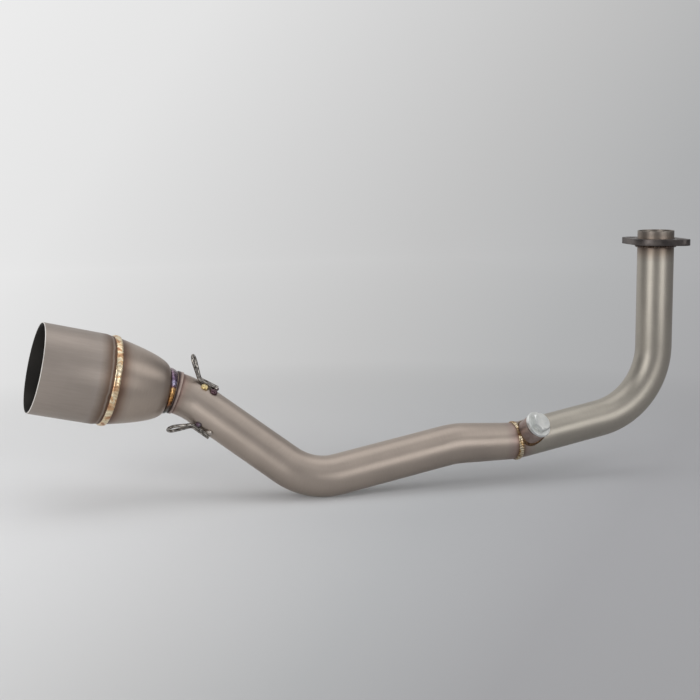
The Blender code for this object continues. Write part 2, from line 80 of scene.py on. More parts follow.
# Flange
PLATE = 6 * MM
HUB = 24 * MM
EAR = 9 * MM
STUD_PITCH = 54 * MM
STUD_HOLE = 8.5 * MM
PORT_FIT = 0.1 * MM
FLANGE_YAW = math.radians(-60)

# Bung, washer and plug
BUNG_BEFORE_WELD = 6 * MM
BUNG_CLOCK = math.radians(52)
BUNG_LEAN = math.radians(24)
BUNG_OD = 24.6 * MM
BUNG_LIP = 1 * MM
PLUG_SHANK = 17.6 * MM
WASHER_OD = 23.6 * MM
WASHER_THICK = 1 * MM
PLUG_DISC = 26.2 * MM
PLUG_DISC_THICK = 3.2 * MM
PLUG_HEX = 17 * MM
PLUG_HEX_HEIGHT = 5.6 * MM
PLUG_TURN = math.radians(-16)
PLUG_SHANK_LENGTH = 8.5 * MM
PLUG_SHANK_EASE = 0.8 * MM
HEX_CORNER = 1.16
HEX_CHAMFER = math.radians(30)
HEX_LIP, HEX_EASE = 0.25 * MM, 0.3 * MM
HEX_RIM, HEX_SIDE = 0.4 * MM, 1.9 * MM

# Neck, transition and cup
SLEEVE_WIDTH = 4.5 * MM
SLEEVE_WALL = 0.8 * MM
SLEEVE_SEAT = 0.2 * MM
SLEEVE_EASE = 0.3 * MM
NECK_WELD_WIDTH = 6.5 * MM
NECK_WELD_CROWN = 2.6 * MM
NECK_WELD_TOE = 0.4 * MM
NECK_WELD_SINK = 0.5 * MM
CONE_LENGTH = 53 * MM
CONE_WALL = 1.6 * MM
CONE_FLARE = 0.52
CUP_OD = 82.5 * MM
CUP_LENGTH = 67 * MM
CUP_NIP = 1 * MM
CUP_NIP_LENGTH = 7 * MM
CUP_BEAD = 6 * MM

# Wire hooks: distance before the neck, turn round the pipe
WIRE = 3 * MM
HOOKS = {"upper": (24.3 * MM, math.radians(5)), "lower": (41.8 * MM, math.radians(140))}
TACK_GAP = 1.3 * MM
TACK_SIZE = 3.1 * MM, 2.6 * MM, 2.2 * MM
NEAR_TACK_GAP = 1.6 * MM
NEAR_TACK_SHIFT = 3 * MM
NEAR_TACK_SIZE = 3.7 * MM, 3.2 * MM, 2.5 * MM
END_TACK_INSET = 1.55 * MM
HOOK_LEG = 19 * MM
HOOK_LEG_SPREAD = 5.4 * MM
HOOK_BEND = 5 * MM
HOOK_EASE = 3 * MM
HOOK_LEAN = math.radians(48)
HOOK_LOOP_LENGTH = 22 * MM
HOOK_LOOP_WIDTH = 14.6 * MM

# Fineness of the meshes
SIDES = 72
ARC_STEP = math.radians(2.5)
NEAREST_RINGS = 0.05 * MM
SOFT_EDGE = 0.25 * MM
SHARP = math.radians(60)
TINY = 1e-7

# Width and crown of the even beads
MID_BEAD, MID_CROWN = 4.8 * MM, 0.9 * MM
CUP_CROWN = 1.1 * MM
FLANGE_BEAD, FLANGE_CROWN = 2.6 * MM, 2.2 * MM
BEAD_SEAT = 0.1 * MM
BEAD_SINK = 0.4 * MM

# Saddle bead: its size and how far it stands off the bung, off the pipe and below the bung's top
SADDLE_SIZE = 1.15 * MM
SADDLE_OUT, SADDLE_UP, SADDLE_BELOW = 0.35 * MM, 0.25 * MM, 0.4 * MM

# Ripples of each bead: how many go round, how high they stand, seed of their unevenness
MID_RIPPLES = 46, 0.35 * MM, 1.0
CUP_RIPPLES = 76, 0.4 * MM, 2.0
FLANGE_RIPPLES = 44, 0.25 * MM, 4.0
NECK_RIPPLES = 34, 0.3 * MM, 5.0
SADDLE_RIPPLES = 30, 0.2 * MM, 8.0


# Centre line

def lay_centre_line():
    """Straights and bends in order: start station, length, point, heading, inward side, radius and
    the direction from which turns round the pipe are counted."""
    runs = []
    s, at, along, inward = -SPIGOT, Vector((0, 0, SPIGOT)), -UP, Vector((-1, 0, 0))
    clock = Vector((-1, 0, 0))
    for straight, angle, turn, radius in BENDS:
        runs.append((s, straight, at.copy(), along.copy(), None, 0, clock.copy()))
        at, s = at + along * straight, s + straight
        inward = Matrix.Rotation(math.radians(turn), 3, along) @ inward
        length = math.radians(angle) * radius
        runs.append((s, length, at.copy(), along.copy(), inward.copy(), radius, clock.copy()))
        bend = Matrix.Rotation(math.radians(angle), 3, along.cross(inward))
        at = at + inward * radius - bend @ inward * radius
        along, inward, clock, s = bend @ along, bend @ inward, bend @ clock, s + length
    runs.append((s, LAST_STRAIGHT, at, along, None, 0, clock))
    return runs


RUNS = lay_centre_line()
ROUTE_END = RUNS[-1][0] + LAST_STRAIGHT
NECK = ROUTE_END - NECK_ENTRY
WELD = RUNS[3][0] + RUNS[3][1] / 2


def run_at(s):
    for run in RUNS:
        if s <= run[0] + run[1]:
            return run
    return RUNS[-1]


def route(s):
    """Point, heading and counting direction of the centre line at station s."""
    start, _, at, along, inward, radius, clock = run_at(s)
    if not radius:
        return at + along * (s - start), along, clock
    bend = Matrix.Rotation((s - start) / radius, 3, along.cross(inward))
    return at + inward * radius - bend @ inward * radius, bend @ along, bend @ clock


def unbend(point):
    """Station along the pipe and place in its cross section of a point on or near it."""
    best = None
    for run in RUNS:
        start, length, at, along, inward, radius, clock = run
        if radius:
            arm = point - (at + inward * radius)
            s = start + radius * math.atan2(arm.dot(along), -arm.dot(inward))
        else:
            s = start + (point - at).dot(along)
        if run is not RUNS[-1]:
            s = min(s, start + length)
        if run is not RUNS[0]:
            s = max(s, start)
        past_end = at + along * (s - start), along, clock
        middle, heading, side = past_end if run is RUNS[-1] else route(s)
        away = (point - middle).length
        if best is None or away < best[0] - TINY:
            off = point - middle
            best = away, (s, off.dot(side), off.dot(heading.cross(side)))
    return best[1]


def facing(s):
    """Point, heading, way up and outer side of the pipe at station s."""
    at, along, _ = route(s)
    up = (UP - along * UP.dot(along)).normalized()
    return at, along, up, up.cross(along)


# Bench work

def edit(mode="EDIT"):
    bpy.ops.object.mode_set(mode=mode)


def ring(name, radius, at, along, sides=SIDES):
    """A circle of edges square to a heading, left open in edit mode with all of it selected."""
    bpy.ops.object.select_all(action="DESELECT")
    bpy.ops.mesh.primitive_circle_add(vertices=sides, radius=radius, location=at,
                                      rotation=along.to_track_quat("Z", "X").to_euler())
    piece = bpy.context.object
    piece.name = piece.data.name = name
    edit()
    bpy.ops.mesh.select_all(action="SELECT")
    return piece


def push(move):
    bpy.ops.mesh.extrude_region_move(TRANSFORM_OT_translate={"value": move})


def swing(angle, centre, axis, steps):
    bpy.ops.mesh.spin(steps=steps, angle=angle, center=centre, axis=-axis)


def widen(ratio, centre):
    bpy.ops.transform.resize(value=(ratio, ratio, ratio), center_override=centre)


def place():
    """Move the active piece's place into its mesh and turn its faces outward."""
    edit()
    bpy.ops.mesh.select_all(action="SELECT")
    bpy.ops.mesh.normals_make_consistent(inside=False)
    edit("OBJECT")
    bpy.ops.object.transform_apply(location=True, rotation=True, scale=True)


def outward(piece, middle):
    """Flip an open skin whose faces look toward its middle line."""
    score = sum((face.center - middle(face.center)).dot(face.normal) * face.area
                for face in piece.data.polygons)
    if score < 0:
        edit()
        bpy.ops.mesh.select_all(action="SELECT")
        bpy.ops.mesh.flip_normals()
        edit("OBJECT")


def apply(kind, **settings):
    bpy.ops.object.modifier_add(type=kind)
    mod = bpy.context.object.modifiers[-1]
    for key, value in settings.items():
        setattr(mod, key, value)
    bpy.ops.object.modifier_apply(modifier=mod.name)


def wall(thickness):
    """Give an open skin its metal thickness and ease its cut edges."""
    apply("SOLIDIFY", thickness=thickness, offset=-1, use_even_offset=True)
    apply("BEVEL", width=SOFT_EDGE, segments=2, limit_method="ANGLE", angle_limit=SHARP)


def shade(angle=38):
    bpy.ops.object.shade_smooth_by_angle(angle=math.radians(angle))


def close_ends():
    bpy.ops.mesh.select_all(action="DESELECT")
    bpy.ops.mesh.select_mode(type="VERT")
    bpy.ops.mesh.select_non_manifold()
    bpy.ops.mesh.fill_holes(sides=0)


def marks(s0, s1, extra=()):
    """Stations from s0 to s1 that follow the bends, with the extra ones."""
    found = {s0, s1, *extra}
    for start, length, _, _, _, radius, _ in RUNS:
        count = max(1, math.ceil(length / radius / ARC_STEP)) if radius else 1
        found.update(start + length * i / count for i in range(count + 1))
    kept = [s0]
    for s in sorted(found):
        if kept[-1] + NEAREST_RINGS < s < s1 - NEAREST_RINGS:
            kept.append(s)
    return kept + [s1]


def bent_skin(name, stations, radius):
    """Open tube along the pipe's route, its radius given for each station."""
    at, along, _ = route(stations[0])
    piece = ring(name, radius(stations[0]), at, along)
    for s0, s1 in zip(stations, stations[1:]):
        _, _, first, along, inward, bend, _ = run_at((s0 + s1) / 2)
        if bend:
            swing((s1 - s0) / bend, first + inward * bend, along.cross(inward), 1)
        else:
            push(along * (s1 - s0))
        if abs(radius(s1) - radius(s0)) > TINY:
            widen(radius(s1) / radius(s0), route(s1)[0])
    edit("OBJECT")
    place()
    outward(piece, lambda p: route(unbend(p)[0])[0])
    return piece


def lathe(name, at, axis, profile, sides=SIDES, solid=True):
    """Turned piece: a ring pushed along its axis and opened or closed at each step."""
    piece = ring(name, profile[0][0], at + axis * profile[0][1], axis, sides)
    for (r0, z0), (r1, z1) in zip(profile, profile[1:]):
        push(axis * (z1 - z0))
        if r1 != r0:
            widen(r1 / r0, at + axis * z1)
    if solid:
        close_ends()
    edit("OBJECT")
    place()
    return piece


def loop_closed(name, at, axis, profile, sides=SIDES):
    """Turned ring whose last edge loop is bridged back to the first."""
    piece = lathe(name, at, axis, profile, sides, solid=False)
    edit()
    bpy.ops.mesh.select_mode(type="VERT")
    bpy.ops.mesh.select_all(action="DESELECT")
    bpy.ops.mesh.select_non_manifold()
    bpy.ops.mesh.bridge_edge_loops()
    edit("OBJECT")
    place()
    return piece


def note_unbent(piece):
    """Keep each point's station and cross section, so that grain and heat tint follow the bends."""
    values = [number for vert in piece.data.vertices for number in unbend(vert.co)]
    kept = piece.data.attributes.new("unbent", "FLOAT_VECTOR", "POINT")
    kept.data.foreach_set("vector", values)


def dress(piece, material, slot, *nodes):
    piece.data.materials.clear()
    piece.data.materials.append(material)
    note_unbent(piece)
    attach(piece, "root")
    if nodes:
        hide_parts(*nodes)


# Finishes

def linear(code, alpha=1.0):
    """Colour written as sRGB hex, for a socket that wants linear light."""
    parts = [int(code[i:i + 2], 16) / 255 for i in (0, 2, 4)]
    return (*(c / 12.92 if c <= 0.04045 else ((c + 0.055) / 1.055) ** 2.4 for c in parts), alpha)


def add(tree, kind, inputs=None, **settings):
    """One node with its settings; an input is a value or the output that feeds it."""
    node = tree.nodes.new(kind)
    for key, value in settings.items():
        setattr(node, key, value)
    for key, value in (inputs or {}).items():
        if isinstance(value, bpy.types.NodeSocket):
            tree.links.new(value, node.inputs[key])
        else:
            node.inputs[key].default_value = value
    return node


def stops(ramp, points):
    """Place a ramp's colours: position, sRGB hex and, where it isn't whole, strength."""
    row = ramp.color_ramp.elements
    while len(row) < len(points):
        row.new(0.5)
    for stop, (position, *colour) in zip(row, points):
        stop.position = position
        stop.color = linear(*colour)
    return ramp


def maths(tree, operation, *values):
    return add(tree, "ShaderNodeMath", dict(enumerate(values)), operation=operation).outputs[0]


def vector_maths(tree, operation, *values):
    return add(tree, "ShaderNodeVectorMath", dict(enumerate(values)), operation=operation).outputs


def clouds(tree, where, size, detail=3.0, **more):
    """Noise whose clouds are as large as the given length."""
    inputs = {"Vector": where, "Scale": 1 / size, "Detail": detail, **more}
    return add(tree, "ShaderNodeTexNoise", inputs).outputs["Fac"]


def spread(tree, value, ends, low=0.0, high=1.0, **how):
    """The stretch of a value between two ends, spread from low to high."""
    inputs = {"Value": value, "From Min": ends[0], "From Max": ends[1], "To Min": low, "To Max": high}
    return add(tree, "ShaderNodeMapRange", inputs, **how).outputs[0]


def blend(tree, share, below, above, **how):
    """One colour with another laid over it at the given share."""
    inputs = {"Factor": share, "A": below, "B": above}
    return add(tree, "ShaderNodeMix", inputs, data_type="RGBA", **how).outputs["Result"]


def new_material(name, roughness, metallic=1.0):
    mat = bpy.data.materials.new(name)
    mat.use_nodes = True
    shader = mat.node_tree.nodes["Principled BSDF"]
    shader.inputs["Metallic"].default_value = metallic
    shader.inputs["Roughness"].default_value = roughness
    return mat, mat.node_tree, shader


def give_surface(tree, shader, worn, roughness, relief, strength, depth):
    """Roughness between two values by one pattern, and a fine relief from another."""
    tree.links.new(spread(tree, worn, MOST_NOISE, *roughness), shader.inputs["Roughness"])
    bump = add(tree, "ShaderNodeBump", {"Height": relief, "Strength": strength, "Distance": depth})
    tree.links.new(bump.outputs[0], shader.inputs["Normal"])


# Sizes of the patterns, as they show on real tube; most of a noise lies between two values
MOST_NOISE = 0.3, 0.7
POLISH_CLOUD = 28 * MM
BLAST_SPECK = 1.1 * MM
TINT_WAVER = 11 * MM
TINT_WAVE = 0.16
TINT_END = 1.1
BEAD_GRAIN = 0.6 * MM
SHADE_DEPTH = 20 * MM

# Heat tint beside each weld: share of its reach, colour and strength, from the bead outward. The sleeve's
# edge is partly painted shade, the spigot's zone is a grey darkening, the rim's is a painted highlight
# and the bore's colour is painted shade.
NECK_TINT = ((0.0, "4a3a44", 0.85), (0.22, "6b4f45", 0.7), (0.42, "8f7b6e", 0.35), (0.7, "8a7468", 0.3),
             (1.0, "8a7468", 0.0))
CUP_TINT = ((0.0, "5a4436", 0.9), (0.26, "5f4636", 0.9), (0.32, "8d7d70", 0.6), (0.42, "6d5646", 0.85),
            (0.6, "6f5a4b", 0.65), (1.0, "7a6c62", 0.0))
MID_TINT = ((0.0, "5d4232", 0.9), (0.2, "7d6050", 0.75), (0.4, "9a807a", 0.5), (1.0, "94837c", 0.0))
FLANGE_TINT = ((0.0, "4b3a30", 0.9), (0.3, "6b5546", 0.6), (0.6, "857365", 0.35), (1.0, "8a7b70", 0.0))
CONE_TINT = ((0.0, "5c4436", 0.9), (0.3, "6a4f40", 0.85), (0.5, "7d6454", 0.6), (0.7, "8a776a", 0.3),
             (1.0, "8a7b70", 0.0))
SLEEVE_TINT = ((0.0, "4a2f2c", 0.9), (0.1, "6b4640", 0.7), (0.25, "9b7f74", 0.5), (0.55, "8f7d70", 0.3),
               (1.0, "94837c", 0.0))
# Dark line at the sleeve's edge by the neck weld: partly heat tint, partly painted shade between the two
# parts.
SLEEVE_EDGE_TINT_AND_SHADE = (0.0, "2f2524", 0.95), (0.5, "4a3c3c", 0.9), (0.75, "7d6a66", 0.6), (1.0, "8f7d78", 0.0)
# The spigot above the plate is made a darker grey.
SPIGOT_TINT = (0.0, "5f5955", 0.75), (0.75, "6a625c", 0.6), (1.0, "857c74", 0.0)
# Painted highlight: a near-white thin line along the cup's cut rim.
RIM_PAINTED_HIGHLIGHT = (0.0, "f0ece6"), (0.8, "f0ece6"), (1.0, "f0ece6", 0.0)
# Painted shade colour deep in the cup's bore.
SHADED_BORE = "3a3836"


def satin_steel(name, base, zones, roughness=0.42, grain=(0.4 * MM, 9 * MM), painted_bore_shade=None):
    """Brushed and lightly blasted 304 stainless: warm grey, soft streaks, with the oxide colours of the
    welding heat. A zone is a station, the reach of its colour and its tint: mostly heat tint beside a
    weld, at the cup's rim a painted highlight. Grain is the spacing of the lines along and round the
    pipe, drawn coarser than the real 0.05 mm so that it still shows. Painted shade inside a bore is given
    by its radius and the station it starts at."""
    mat, tree, shader = new_material(name, roughness)
    where = add(tree, "ShaderNodeAttribute", attribute_name="unbent").outputs["Vector"]
    station = add(tree, "ShaderNodeSeparateXYZ", {0: where}).outputs["X"]
    scale = 1 / grain[0], 1 / grain[1], 1 / grain[1]
    lines = add(tree, "ShaderNodeMapping", {"Vector": where, "Scale": scale}).outputs[0]
    grit = clouds(tree, lines, 1.0, Roughness=0.6)
    cloud = clouds(tree, where, POLISH_CLOUD)
    speck = clouds(tree, where, BLAST_SPECK, 2.0)
    tone = spread(tree, cloud, MOST_NOISE, 0.95, 1.04)
    fine = spread(tree, grit, (0.25, 0.75), 0.95, 1.05)
    colour = blend(tree, 1.0, linear(base), maths(tree, "MULTIPLY", tone, fine), blend_type="MULTIPLY")
    waver = clouds(tree, where, TINT_WAVER)
    for centre, reach, tint in zones:
        away = maths(tree, "ABSOLUTE", maths(tree, "SUBTRACT", station, centre))
        share = spread(tree, away, (0.0, TINT_END * reach), 0.0, TINT_END)
        wavy = maths(tree, "MULTIPLY_ADD", waver, TINT_WAVE, share)
        wavy = maths(tree, "SUBTRACT", wavy, TINT_WAVE / 2)
        heat = stops(add(tree, "ShaderNodeValToRGB", {"Fac": wavy}), tint).outputs
        colour = blend(tree, heat["Alpha"], colour, heat["Color"])
    # Painted shade inside the bore, darker with depth from its start.
    if painted_bore_shade:
        radius, start = painted_bore_shade
        section = vector_maths(tree, "MULTIPLY", where, (0, 1, 1))[0]
        across = vector_maths(tree, "LENGTH", section)["Value"]
        within = maths(tree, "LESS_THAN", across, radius)
        deep = spread(tree, station, (start, start + SHADE_DEPTH))
        colour = blend(tree, maths(tree, "MULTIPLY", within, deep), colour, linear(SHADED_BORE))
    tree.links.new(colour, shader.inputs["Base Color"])
    relief = maths(tree, "MULTIPLY_ADD", speck, 0.35, grit)
    give_surface(tree, shader, cloud, (roughness - 0.015, roughness + 0.02), relief, 0.12, 0.06 * MM)
    return mat


def weld_metal(name, colours, patch, groove_shade, roughness=0.28, depth=0.6, turned=False):
    """Bead laid by hand with a filler rod: bright rippled metal whose oxide runs from straw and gold
    to brown, violet and blue, in patches of the given size or by the turn round the pipe, with painted
    shade of the groove colour in the grooves between ripples."""
    mat, tree, shader = new_material(name, roughness)
    where = add(tree, "ShaderNodeTexCoord").outputs["Object"]
    patches = clouds(tree, where, patch, 2.5, Distortion=0.4)
    if turned:
        section = add(tree, "ShaderNodeAttribute", attribute_name="unbent").outputs["Vector"]
        section = add(tree, "ShaderNodeSeparateXYZ", {0: section}).outputs
        turn = maths(tree, "ARCTAN2", section["Z"], section["Y"])
        turn = maths(tree, "MULTIPLY_ADD", patches, 0.5, turn)
        position = spread(tree, turn, (0.25 - math.pi, 0.25 + math.pi))
    else:
        position = spread(tree, patches, MOST_NOISE)
    ramp = stops(add(tree, "ShaderNodeValToRGB", {"Fac": position}), colours)
    ripple = add(tree, "ShaderNodeAttribute", attribute_name="ripple").outputs["Fac"]
    # Painted shade: the groove colour laid in the valleys between ripples.
    low = spread(tree, ripple, (0.05, 0.5), depth, 0.0)
    tree.links.new(blend(tree, low, ramp.outputs["Color"], linear(groove_shade)), shader.inputs["Base Color"])
    grain = clouds(tree, where, BEAD_GRAIN)
    give_surface(tree, shader, grain, (roughness - 0.08, roughness + 0.1), grain, 0.35, 0.12 * MM)
    return mat


def plain_steel(name, light, dark, roughness, grain_size, patch):
    """Bare or plated steel with a light and a dark tone in clouds and a fine grain."""
    mat, tree, shader = new_material(name, roughness)
    where = add(tree, "ShaderNodeTexCoord").outputs["Object"]
    cloud = clouds(tree, where, patch, 4.0)
    ramp = stops(add(tree, "ShaderNodeValToRGB", {"Fac": cloud}), ((0.35, dark), (0.65, light)))
    tree.links.new(ramp.outputs["Color"], shader.inputs["Base Color"])
    grain = clouds(tree, where, grain_size)
    give_surface(tree, shader, grain, (roughness - 0.06, roughness + 0.08), grain, 0.25, 0.08 * MM)
    return mat


CUP_WELD_AT = NECK + CONE_LENGTH
CUP_END = CUP_WELD_AT + CUP_LENGTH
HEAD_TUBE = satin_steel("satin brushed stainless tube, port end", "a8a298", (
    (-4 * MM, 5 * MM, SPIGOT_TINT),
    (7 * MM, 16 * MM, FLANGE_TINT),
    (WELD, 15 * MM, MID_TINT),
))
TUBE = satin_steel("satin brushed stainless tube", "ab9f95", (
    (WELD, 15 * MM, MID_TINT),
    (NECK - 11.5 * MM, 14 * MM, SLEEVE_TINT),
))
SLEEVE_STEEL = satin_steel("satin stainless sleeve, rosy with heat", "b09e95", (
    # Partly heat tint, partly painted shade where the sleeve meets the neck weld.
    (NECK - 7.4 * MM, 3 * MM, SLEEVE_EDGE_TINT_AND_SHADE),
))
CONE_STEEL = satin_steel("satin stainless, spun transition", "aea196", (
    (NECK - 3 * MM, 12 * MM, NECK_TINT),
    (CUP_WELD_AT, 17 * MM, CONE_TINT),
), roughness=0.37)
CUP_STEEL = satin_steel("satin stainless, rolled cup", "a1978f", (
    (CUP_WELD_AT, 17 * MM, CUP_TINT),
    # The rim zone is a painted highlight.
    (CUP_END, 0.6 * MM, RIM_PAINTED_HIGHLIGHT),
), roughness=0.48, grain=(24 * MM, 1.6 * MM), painted_bore_shade=(CUP_OD / 2 - WALL / 2, CUP_WELD_AT + 12 * MM))
CUP_GOLD = weld_metal("straw gold weld bead", (
    (0.0, "b08062"), (0.25, "d8b088"), (0.45, "ecdab8"), (0.68, "f2e6c8"), (0.86, "dcb488"),
    (1.0, "a4745a"),
), 10 * MM, "9a7250", roughness=0.3, depth=0.35)
MID_GOLD = weld_metal("pale gold weld bead", (
    (0.0, "7d5c3c"), (0.3, "c4a478"), (0.6, "f0e4c8"), (0.8, "d2b68c"), (1.0, "6f4f34"),
), 8 * MM, "3f2a1e", depth=0.7)
# Colours follow the turn round the pipe: violet and gold oxide, with painted highlights in the pale stops
# at 0.06 and 0.345.
NECK_OXIDE_AND_PAINTED_HIGHLIGHTS = weld_metal("violet and gold weld bead", (
    (0.0, "5a5460"), (0.06, "bdb8b0"), (0.1, "59605c"), (0.16, "6f5d52"), (0.19, "a06c48"),
    (0.22, "dca05c"), (0.3, "ecbf84"), (0.32, "8a6a78"), (0.345, "c8c2e0"), (0.375, "7d6a86"),
    (0.44, "8a7684"), (0.5, "aa9c9e"), (0.75, "6a648a"), (1.0, "5a5460"),
), 16 * MM, "4a3c3a", roughness=0.25, depth=0.35, turned=True)
BUNG_GOLD = weld_metal("brown and gold saddle bead", ((0.0, "4a382c"), (0.5, "7d6448"), (1.0, "6a5040")),
                       7 * MM, "33261e")
TACK_METAL = weld_metal("straw gold tack weld", (
    (0.0, "8a6a4a"), (0.4, "d8c48c"), (0.75, "ece0b4"), (1.0, "b08c60"),
), 6 * MM, "c9b27c")
TACK_OXIDE = weld_metal("violet and teal tack weld", (
    (0.0, "4a3440"), (0.4, "7a6478"), (0.7, "57706c"), (1.0, "a49a94"),
), 5 * MM, "6a5a64")
TACK_SILVER = weld_metal("silver tack weld", ((0.0, "7a6c66"), (0.5, "b8b0a8"), (1.0, "d0cac2")),
                         5 * MM, "b8b0a8")
TACK_BROWN = weld_metal("brown tack weld", ((0.0, "3a2c32"), (0.5, "665055"), (1.0, "907a7c")),
                        5 * MM, "56434a")
FLANGE_WELD_METAL = weld_metal("weld under the plate", (
    (0.0, "3f2f26"), (0.5, "6f6056"), (1.0, "bfb4a8"),
), 12 * MM, "2f241e", roughness=0.3)
PLATE_STEEL = plain_steel("heat darkened cast steel", "716a66", "4b4645", 0.4, 0.7 * MM, 18 * MM)
WIRE_STEEL = plain_steel("drawn stainless wire", "b4afa8", "504a46", 0.13, 0.8 * MM, 3 * MM)
ZINC = plain_steel("zinc plated plug", "e8e9e6", "d4d6d4", 0.38, 0.5 * MM, 8 * MM)
BUNG_STEEL = plain_steel("turned stainless bung, browned by heat", "b09f97", "8c7972", 0.4, 0.4 * MM,
                         9 * MM)


# Tubes

def smooth(share):
    return share * share * (3 - 2 * share)


def head_radius(s):
    return HEAD_OD / 2


def mid_radius(s):
    share = min(max((s - WELD - SWAGE_START) / SWAGE_LENGTH, 0), 1)
    share = smooth(share) * 0.35 + share * 0.65
    return (HEAD_OD + (MID_OD - HEAD_OD) * share) / 2


def bend_head_pipe():
    piece = bent_skin("head_pipe_skin", marks(-SPIGOT, WELD - GAP / 2), head_radius)
    wall(WALL)
    shade()
    dress(piece, HEAD_TUBE, "tube_steel", "head_pipe")


def bend_mid_pipe():
    swage = [WELD + SWAGE_START + SWAGE_LENGTH * i / 8 for i in range(9)]
    piece = bent_skin("mid_pipe_skin", marks(WELD + GAP / 2, ROUTE_END, swage), mid_radius)
    wall(WALL)
    shade()
    dress(piece, TUBE, "tube_steel", "mid_pipe")


# Outlet

OUT_AT, OUT_AXIS, OUT_CLOCK = route(NECK)
CONE_RINGS = 28
NIP_RINGS = 6
OUTLET_SIDES = 96


def on_outlet_axis(point):
    return OUT_AT + OUT_AXIS * (point - OUT_AT).dot(OUT_AXIS)


def spin_transition():
    small = MID_OD / 2 + GAP + CONE_WALL
    large = CUP_OD / 2 - CUP_NIP
    end = CONE_LENGTH - GAP / 2
    profile = []
    for i in range(CONE_RINGS + 1):
        share = (i / CONE_RINGS) ** 1.7
        profile.append((small + (large - small) * share ** CONE_FLARE, end * share))
    piece = lathe("transition_skin", OUT_AT, OUT_AXIS, profile, OUTLET_SIDES, solid=False)
    outward(piece, on_outlet_axis)
    wall(CONE_WALL)
    shade()
    dress(piece, CONE_STEEL, "tube_steel", "transition_cone")


def roll_cup():
    large = CUP_OD / 2
    start = CONE_LENGTH + GAP / 2
    bead_end = CONE_LENGTH + CUP_BEAD / 2
    profile = [(large - CUP_NIP, start), (large - CUP_NIP, bead_end)]
    for i in range(1, NIP_RINGS + 1):
        share = i / NIP_RINGS
        profile.append((large - CUP_NIP * (1 - smooth(share)), bead_end + CUP_NIP_LENGTH * share))
    profile.append((large, CONE_LENGTH + CUP_LENGTH))
    piece = lathe("outlet_cup_skin", OUT_AT, OUT_AXIS, profile, OUTLET_SIDES, solid=False)
    outward(piece, on_outlet_axis)
    wall(WALL)
    shade()
    dress(piece, CUP_STEEL, "cup_steel", "outlet_cup")


# Welds

def around(turn, radius, height):
    return Vector((math.cos(turn) * radius, math.sin(turn) * radius, height))


def scallop(turn, across, count, seed):
    """Height, 0 to 1, of overlapping weld ripples: crescents, a little uneven in pitch and size."""
    drift = noise.noise(around(turn, 2, seed)) * 0.9
    phase = (turn / (2 * math.pi) * count + drift + 0.45 * across * across) % 1.0
    size = 0.75 + 0.5 * noise.noise(around(turn, 7, seed + 3))
    return size * (0.5 - 0.5 * math.cos(2 * math.pi * phase ** 0.7))


def note_ripples(piece, heights):
    kept = piece.data.attributes.new("ripple", "FLOAT", "POINT")
    kept.data.foreach_set("value", heights)


def torus(name, radius, turns, sides):
    """Ring of 1 mm round section about the Z axis at the origin."""
    bpy.ops.object.select_all(action="DESELECT")
    bpy.ops.mesh.primitive_torus_add(major_radius=radius, minor_radius=MM, major_segments=turns,
                                     minor_segments=sides)
    piece = bpy.context.object
    piece.name = piece.data.name = name
    return piece


def on_torus(point, radius):
    """Turn round the Z axis and place in the round section, outward and upward, each from -1 to 1."""
    turn = math.atan2(point.y, point.x)
    return turn, (math.hypot(point.x, point.y) - radius) / MM, point.z / MM


def bead_ring(name, radius, width, crown, ripples, turns=360):
    """Rippled bead about the Z axis at the origin: x and y are the cross section, z runs along."""
    count, depth, seed = ripples
    piece = torus(name, radius, turns, 20)
    heights = []
    for vert in piece.data.vertices:
        turn, rise, across = on_torus(vert.co, radius)
        edge = 1 + 0.07 * noise.noise(around(turn, 9, seed))
        heights.append(scallop(turn, across, count, seed))
        if rise > 0:
            out = crown * rise ** 0.8 + depth * heights[-1] * rise ** 0.5
        else:
            out = BEAD_SINK * rise
        vert.co = around(turn, radius + out, across * width / 2 * edge)
    note_ripples(piece, heights)
    return piece


def onto_route(piece, s):
    """Wrap a piece made about the Z axis on to the bent pipe at station s."""
    for vert in piece.data.vertices:
        at, along, clock = route(s + vert.co.z)
        vert.co = at + clock * vert.co.x + along.cross(clock) * vert.co.y


def lay_pipe_welds():
    piece = bead_ring("mid_weld_bead", HEAD_OD / 2 + BEAD_SEAT, MID_BEAD, MID_CROWN, MID_RIPPLES)
    onto_route(piece, WELD)
    place()
    shade(60)
    dress(piece, MID_GOLD, "weld_bead", "mid_weld")
    seat = CUP_OD / 2 - CUP_NIP + BEAD_SEAT
    piece = bead_ring("cup_weld_bead", seat, CUP_BEAD, CUP_CROWN, CUP_RIPPLES, 720)
    for vert in piece.data.vertices:
        vert.co = (OUT_AT + OUT_AXIS * (CONE_LENGTH + vert.co.z) + OUT_CLOCK * vert.co.x
                   + OUT_AXIS.cross(OUT_CLOCK) * vert.co.y)
    place()
    shade(60)
    dress(piece, CUP_GOLD, "weld_bead", "cup_weld")


